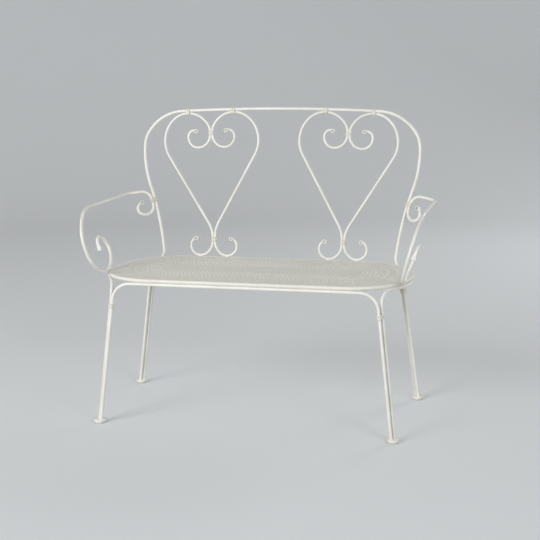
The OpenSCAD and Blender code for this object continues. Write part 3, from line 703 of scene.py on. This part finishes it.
class BENCH_OT_legs(bpy.types.Operator):
    """Legs: one hoop under the front edge and one at each end"""

    bl_idname = "bench.legs"
    bl_label = "Legs"

    front_r, side_r, corner_r = 56, 42, 110  # bends into the legs and at a side hoop's corners
    slant = 1.83  # run of a side hoop along the bench's depth for each step outward

    def execute(self, context):
        sides = context.scene.bench_sizes.rod_sides
        head = FRONT_HEAD - FRONT_OFF
        foot = along(FRONT_FOOT - FRONT_OFF, head, ROD_FOOT_Z)
        middle = Vector((0, head.y, head.z))
        bm = bmesh.new()
        geom = ring(bm, pose(middle, X, Y), ROD_D, sides)
        cap(bm, sweep(bm, geom, corners([middle, head, foot], [self.front_r])))
        bmesh.ops.mirror(bm, geom=bm.verts[:] + bm.edges[:] + bm.faces[:], axis="X",
                         merge_dist=MERGE)
        finish("front_hoop_rod", bm, look("rod"), ["front_hoop"])
        f, g = FRONT_HEAD + FRONT_OFF, REAR_HEAD + REAR_OFF
        points = [along(FRONT_FOOT + FRONT_OFF, f, ROD_FOOT_Z), f,
                  Vector((RIM_A, f.y + (RIM_A - f.x) * self.slant, UNDER_Z)),
                  Vector((RIM_A, g.y - (RIM_A - g.x) * self.slant, UNDER_Z)),
                  g, along(REAR_FOOT + REAR_OFF, g, ROD_FOOT_Z)]
        radii = [self.side_r, self.corner_r, self.corner_r, self.side_r]
        bm = bmesh.new()
        geom = ring(bm, pose(points[0], f - points[0], Y), ROD_D, sides)
        cap(bm, sweep(bm, geom, corners(points, radii)))
        cap(bm, geom)
        both_sides("{}_hoop_rod", bm, look("rod"), "side_hoop_{}")
        return {"FINISHED"}


class BENCH_OT_back(bpy.types.Operator):
    """Back: one rod from foot to foot, over the shoulders and the arched rail"""

    bl_idname = "bench.back"
    bl_label = "Back"

    leg_r = 32  # the two bends from the post into the leg

    def execute(self, context):
        bm = bmesh.new()
        geom = ring(bm, RAIL_MID, ROD_D, context.scene.bench_sizes.rod_sides)
        moves, end = bends(RAIL_MID, POST_CHAIN)
        foot = along(REAR_FOOT - REAR_OFF, REAR_HEAD - REAR_OFF, ROD_FOOT_Z)
        moves += corners([point(end), POST_LOW, LEG_HIGH, foot], [self.leg_r, self.leg_r])
        cap(bm, sweep(bm, geom, moves))
        bmesh.ops.mirror(bm, geom=bm.verts[:] + bm.edges[:] + bm.faces[:], axis="X",
                         merge_dist=MERGE)
        finish("back_frame_rod", bm, look("rod"), ["back_frame"])
        return {"FINISHED"}


class BENCH_OT_hearts(bpy.types.Operator):
    """Hearts: two mirrored rods each, with hammered and rolled tips"""

    bl_idname = "bench.hearts"
    bl_label = "Hearts"

    def execute(self, context):
        u = tilted(HEART_TILT)
        o = u.cross(-BACK_OUT)
        for side, m in (("outer", 1), ("inner", -1)):
            rise = pose(HEART_BASE + m * PAIR * o, u, -m * o)
            fall = pose(HEART_BASE + m * PAIR * X, -BACK_UP, m * X)
            bm = bmesh.new()
            geom = ring(bm, rise, HEART_D, context.scene.bench_sizes.rod_sides)
            scroll(bm, geom, rise, HEART_UP, HEART_D)
            scroll(bm, geom, fall, HEART_DOWN, HEART_D)
            both_sides("heart_{}_rod_" + side, bm, look("rod"), "heart_{}_" + side)
        return {"FINISHED"}


class BENCH_OT_arms(bpy.types.Operator):
    """Arms: one rod each, from the inner scroll round the front loop to the post"""

    bl_idname = "bench.arms"
    bl_label = "Arms"

    def execute(self, context):
        bm = bmesh.new()
        geom = ring(bm, ARM_OUT, ROD_D, context.scene.bench_sizes.rod_sides)
        scroll(bm, geom, ARM_IN, ARM_IN_CHAIN, ROD_D)
        moves, end = bends(ARM_OUT, ARM_OUT_CHAIN)
        moves += corners([point(end), ARM_TURN, ARM_BEND, ARM_BASE], [TURN_R, NECK_R])
        geom = sweep(bm, geom, moves)
        scroll(bm, geom, pose(ARM_BASE, -POST_U, ARM_SIDE), ARM_REAR_CHAIN, ROD_D)
        both_sides("arm_{}_rod", bm, look("rod"), "arm_{}")
        return {"FINISHED"}


def collar(p, d, pitch):
    """A band with two rounded beads and a groove between them, round two rods of diameter
    d that lie along the heading of p, a pitch apart to its left and right. The profile is
    drawn beside the left rod and then carried round both."""
    r = d / 2 + COLLAR_GAP
    bead = COLLAR_L / 4
    centre = r + COLLAR_OUT - COLLAR_GAP - bead
    low, high = math.asin((r - centre) / bead), math.asin((r + GROOVE_UP - centre) / bead)
    bm = bmesh.new()
    side = left(p)

    def place(radial, axial):
        return point(p) + heading(p) * axial + side * pitch / 2 - up(p) * radial

    start = place(r, -bead * (1 + math.cos(low)))
    groove = 2 * bead * (1 - math.cos(high))
    axis = -side
    made = bmesh.ops.create_vert(bm, co=start)
    turn = math.pi - low - high
    sweep(bm, made["vert"], [(place(centre, -bead), axis, turn), heading(p) * groove,
                             (place(centre, bead), axis, turn),
                             heading(p) * (-2 * bead * (1 + math.cos(low)))], sag=0.02)
    sweep(bm, whole(bm), [
        (point(p) + side * pitch / 2, heading(p), math.pi), side * -pitch,
        (point(p) - side * pitch / 2, heading(p), math.pi), side * pitch])
    return bm


class BENCH_OT_collars(bpy.types.Operator):
    """Collars: cast bands with two beads, wherever two rods are joined"""

    bl_idname = "bench.collars"
    bl_label = "Collars"

    def execute(self, context):
        clad = look("collar")
        u = tilted(HEART_TILT)
        rise = (APEX - LOBE_R - LOBE_R * cos(LOBE_B) + LOBE_IN_R * cos(LOBE_B)
                - HEART_STRAIGHT)
        both_sides("heart_collar_band_{}",
                   collar(pose(HEART_BASE + rise * u, u, u.cross(-BACK_OUT)), HEART_D,
                          2 * PAIR), clad, "heart_collar_{}")
        both_sides("heart_foot_band_{}",
                   collar(pose(HEART_BASE, BACK_UP, X), HEART_D, 2 * PAIR), clad,
                   "heart_foot_collar_{}")
        both_sides("arm_collar_band_{}",
                   collar(pose((POST_AT + ARM_BASE) / 2, POST_U, ARM_SIDE), ROD_D,
                          ROD_D + WELD_GAP), clad, "arm_collar_{}")
        for end, foot, head, off in (("front", FRONT_FOOT, FRONT_HEAD, FRONT_OFF),
                                     ("rear", REAR_FOOT, REAR_HEAD, REAR_OFF)):
            both_sides("leg_band_" + end + "_{}",
                       collar(pose(along(foot, head, LEG_COLLAR_Z), head - foot, off),
                              ROD_D, LEG_PITCH), clad, "leg_collar_" + end + "_{}")
        pitch = ROD_D / 2 + HEART_D / 2 + WELD_GAP
        for m, numbers in ((1, (4, 1)), (-1, (3, 2))):
            w = tilted(HEART_TILT + m * math.degrees(math.asin(LOBE_MID / RAIL_R)))
            band = collar(pose(in_back(0, RAIL_C) + (RAIL_R - pitch / 2) * w,
                               w.cross(-BACK_OUT), w), ROD_D, pitch)
            twin = band.copy()
            finish(f"rail_band_{numbers[0]}", band, clad,
                   [f"rail_collar_{numbers[0]}"])
            finish(f"rail_band_{numbers[1]}", twin, clad,
                   [f"rail_collar_{numbers[1]}"], mirror=True)
        return {"FINISHED"}


def turned(at, profile):
    """A round piece about the vertical axis at a point, from (radius, height) pairs."""
    bm = bmesh.new()
    geom = bmesh.ops.create_vert(bm, co=at + Z * profile[0][1] + X * profile[0][0])["vert"]
    for (r0, z0), (r1, z1) in zip(profile, profile[1:]):
        geom = slide(bm, geom, Vector((r1 - r0, 0, z1 - z0)))
    bmesh.ops.spin(bm, geom=whole(bm), cent=at, axis=Z, dvec=(0, 0, 0), steps=40,
                   angle=2 * math.pi, use_merge=True, use_duplicate=False)
    return bm


def rounded(r, z, radius, start, end, count=5):
    """Points of the arc that rounds a turned profile's corner (r, z), from one angle in
    degrees to another: a lower corner starts at -90, an upper one ends at 90."""
    r, z = r - radius, z + radius if start < 0 else z - radius
    angles = [start + (end - start) * i / count for i in range(count + 1)]
    return [(r + radius * cos(a), z + radius * sin(a)) for a in angles]


class BENCH_OT_feet(bpy.types.Operator):
    """Feet: a turned cup under each leg, and a plastic glide in it"""

    bl_idname = "bench.feet"
    bl_label = "Feet"

    cup_low, cup_high, glide_low, glide_high = 0.8, 2, 1.5, 0.6  # radii of rounded edges

    def execute(self, context):
        cup_r, glide_r = FOOT_D / 2, GLIDE_D / 2
        cup = ([(0, GLIDE_H)] + rounded(cup_r, GLIDE_H, self.cup_low, -90, 0, 4)
               + rounded(cup_r, FOOT_TOP, self.cup_high, 0, 90) + [(0, FOOT_TOP)])
        glide = ([(0, 0)] + rounded(glide_r, 0, self.glide_low, -90, 0)
                 + rounded(glide_r, GLIDE_H, self.glide_high, 0, 90, 3) + [(0, GLIDE_H)])
        for end, at in (("front", FRONT_FOOT), ("rear", REAR_FOOT)):
            both_sides("foot_cup_turned_" + end + "_{}", turned(at, cup), look("rod"),
                       "foot_cup_" + end + "_{}")
            both_sides("foot_glide_" + end + "_{}", turned(at, glide), look("glide"),
                       "glide_" + end + "_{}")
        return {"FINISHED"}


def weld_run(bm, a, b, width, side, ripples=7):
    """A weld bead from a to b: a rounded ridge with the ripples of a hand-held torch. It
    thins towards its ends, and every other step is a little narrower."""
    p = pose(a, b - a, side)
    length = (b - a).length
    geom = ring(bm, p, width, 10)
    steps = 2 * ripples
    first = geom
    for i in range(steps + 1):
        share = i / steps
        if i:
            geom = slide(bm, geom, heading(p) * length / steps)
        swell = max(0.25, math.sin(math.pi * (0.06 + 0.88 * share)) ** 0.5)
        swell *= 1.0 if i % 2 else 0.88
        for v in verts_of(geom):
            q = p.inverted() @ v.co
            q.yz = Vector((q.y, q.z)).normalized() * width / 2 * swell
            v.co = p @ q
    cap(bm, first)
    cap(bm, geom)


class BENCH_OT_welds(bpy.types.Operator):
    """Welds: spacers between the rods of each leg, and beads where rods are welded on"""

    bl_idname = "bench.welds"
    bl_label = "Welds"

    spacer_in, spacer_end = 0.8, 7.4  # reach into each rod, diameter at both ends
    flare = ((0.2, 6.4), (0.4, 6.0), (0.6, 6.0), (0.8, 6.4), (1, 7.4))  # share, diameter
    heart_bead, arm_bead = 14, 16

    def execute(self, context):
        bm = bmesh.new()
        span = LEG_PITCH - ROD_D + 2 * self.spacer_in
        for foot, head, off in ((FRONT_FOOT, FRONT_HEAD, FRONT_OFF),
                                (REAR_FOOT, REAR_HEAD, REAR_OFF)):
            for z in SPACER_ZS:
                at = along(foot, head, z)
                p = pose(at, off, head - foot)
                geom = ring(bm, step(p, (-span / 2,)), self.spacer_end, 16)
                first = geom
                for share, d in self.flare:
                    geom = slide(bm, geom, heading(p) * span / len(self.flare))
                    middle = step(p, (span * (share - 0.5),))
                    for v in verts_of(geom):
                        v.co = point(middle) + (v.co - point(middle)).normalized() * d / 2
                cap(bm, first)
                cap(bm, geom)
        twin = bm.copy()
        bmesh.ops.scale(twin, vec=(-1, 1, 1), verts=twin.verts)
        spare = bpy.data.meshes.new("spacer_twin")
        twin.to_mesh(spare)
        bm.from_mesh(spare)
        bpy.data.meshes.remove(spare)
        twin.free()
        finish("leg_spacer_welds", bm, look("rod"), ["leg_spacers"])
        width = context.scene.bench_sizes.weld / MM
        bm = bmesh.new()
        onto_roll = (ROLL_D / 2) * Vector((0, cos(REST_A), sin(REST_A)))
        for m in (1, -1):
            seam = Vector((HEART_X + m * (PAIR + CURL_OUT), RIM_B, RIM_Z)) + onto_roll
            half = X * self.heart_bead / 2
            weld_run(bm, seam - half, seam + half, width, Y)
        seam = ARM_STAND + (ROLL_D / 2) * ARM_N
        half = ARM_T * self.arm_bead / 2
        weld_run(bm, seam - half, seam + half, width, Z)
        twin = bm.copy()
        finish("weld_beads_right", bm, look("rod"), [])
        finish("weld_beads_left", twin, look("rod"), [], mirror=True)
        return {"FINISHED"}


class BENCH_OT_stage(bpy.types.Operator):
    """Stage: a pale paper bowl, three soft lamps, the air and the camera"""

    bl_idname = "bench.stage"
    bl_label = "Stage"

    # Camera fitted to the bench's outline: degrees, metres and pixels of a 540 px frame
    azimuth, elevation, roll = 11.10, 10.77, -0.12
    distance, focal_px, aside_px = 2.8234, 913.3, 60
    target = Vector((0.2223, 0, 0.4564))
    picture_px, sensor_mm = 540, 36
    bowl_r, bowl_bend, bowl_h = 7000, 2500, 7000  # millimetres
    paper_lift, air = 0.18, 0.24  # strengths: glow of the seen paper, light from all round
    aim = Vector((0, 0, 0.5))
    lamps = (  # place in metres, size in metres, watts: key, fill and one from behind
        ((-3.2, -4.4, 2.7), 3.2, 204), ((4.0, -4.0, 2.1), 2.2, 90),
        ((2.8, 4.0, 2.8), 2.0, 62))

    def camera(self, scene):
        eye = bpy.data.objects.new("camera", bpy.data.cameras.new("camera"))
        az, el, roll = (math.radians(a) for a in (self.azimuth, self.elevation, self.roll))
        back = Vector((math.sin(az) * math.cos(el), -math.cos(az) * math.cos(el),
                       math.sin(el)))
        right = Vector((math.cos(az), math.sin(az), 0))
        over = back.cross(right)
        x = right * math.cos(roll) + over * math.sin(roll)
        y = over * math.cos(roll) - right * math.sin(roll)
        at = self.target + Y * SHIFT_Y * MM + back * self.distance
        eye.matrix_world = placed(at, x, y, back)
        eye.data.sensor_width = self.sensor_mm
        eye.data.lens = self.focal_px / self.picture_px * self.sensor_mm
        eye.data.shift_x = -self.aside_px / self.picture_px
        scene.collection.objects.link(eye)
        scene.camera = eye

    def execute(self, context):
        scene = context.scene
        colours = scene.bench_colours
        bm = bmesh.new()
        flat = self.bowl_r - self.bowl_bend
        made = bmesh.ops.create_vert(bm, co=(0, 0, 0))
        sweep(bm, made["vert"], [
            X * flat, (Vector((flat, 0, self.bowl_bend)), Y, -math.pi / 2),
            Z * (self.bowl_h - self.bowl_bend)], sag=4)
        bmesh.ops.spin(bm, geom=whole(bm), cent=(0, 0, 0), axis=Z, dvec=(0, 0, 0),
                       angle=2 * math.pi, steps=96, use_merge=True, use_duplicate=False)
        bmesh.ops.remove_doubles(bm, verts=bm.verts, dist=MERGE)
        bmesh.ops.scale(bm, vec=(MM, MM, MM), verts=bm.verts)
        bmesh.ops.recalc_face_normals(bm, faces=bm.faces)
        mesh = bpy.data.meshes.new("studio_bowl")
        bm.to_mesh(mesh)
        bm.free()
        mesh.shade_smooth()
        mesh.materials.append(studio("studio_paper", srgb(colours.floor), self.paper_lift))
        bowl = bpy.data.objects.new("studio_bowl", mesh)
        scene.collection.objects.link(bowl)
        for number, (at, size, watts) in enumerate(self.lamps, 1):
            lamp = bpy.data.lights.new(f"soft_lamp_{number}", "AREA")
            lamp.shape, lamp.size, lamp.energy = "DISK", size, watts
            hung = bpy.data.objects.new(lamp.name, lamp)
            hung.location = at
            turn = (self.aim - Vector(at)).to_track_quat("-Z", "Y")
            hung.rotation_euler = turn.to_euler()
            hung.visible_camera = False
            scene.collection.objects.link(hung)
        world = bpy.data.worlds.new("studio_air")
        world.use_nodes = True
        light = world.node_tree.nodes["Background"].inputs
        light["Color"].default_value = (1, 1, 1, 1)
        light["Strength"].default_value = self.air
        scene.world = world
        scene.view_settings.view_transform = "Standard"
        self.camera(scene)
        return {"FINISHED"}


class BENCH_PT_panel(bpy.types.Panel):
    """The bench's steps, sizes and colours"""

    bl_idname = "BENCH_PT_panel"
    bl_label = "Garden Bench"
    bl_space_type = "VIEW_3D"
    bl_region_type = "UI"
    bl_category = "Bench"

    def draw(self, context):
        for made in OPERATORS:
            self.layout.operator(made.bl_idname)
        for group in (context.scene.bench_sizes, context.scene.bench_colours):
            for name in group.__annotations__:
                self.layout.prop(group, name)


OPERATORS = (BENCH_OT_stage, BENCH_OT_seat, BENCH_OT_legs, BENCH_OT_back, BENCH_OT_hearts,
             BENCH_OT_arms, BENCH_OT_collars, BENCH_OT_feet, BENCH_OT_welds)
CLASSES = (BenchSizes, BenchColours, *OPERATORS, BENCH_PT_panel)


def register():
    for made in CLASSES:
        bpy.utils.register_class(made)
    bpy.types.Scene.bench_sizes = bpy.props.PointerProperty(type=BenchSizes)
    bpy.types.Scene.bench_colours = bpy.props.PointerProperty(type=BenchColours)


def unregister():
    del bpy.types.Scene.bench_colours
    del bpy.types.Scene.bench_sizes
    for made in reversed(CLASSES):
        bpy.utils.unregister_class(made)


def main():
    register()
    bpy.ops.bench.stage()
    bpy.ops.bench.seat()
    bpy.ops.bench.legs()
    bpy.ops.bench.back()
    bpy.ops.bench.hearts()
    bpy.ops.bench.arms()
    bpy.ops.bench.collars()
    bpy.ops.bench.feet()
    bpy.ops.bench.welds()


if __name__ == "__main__":
    main()
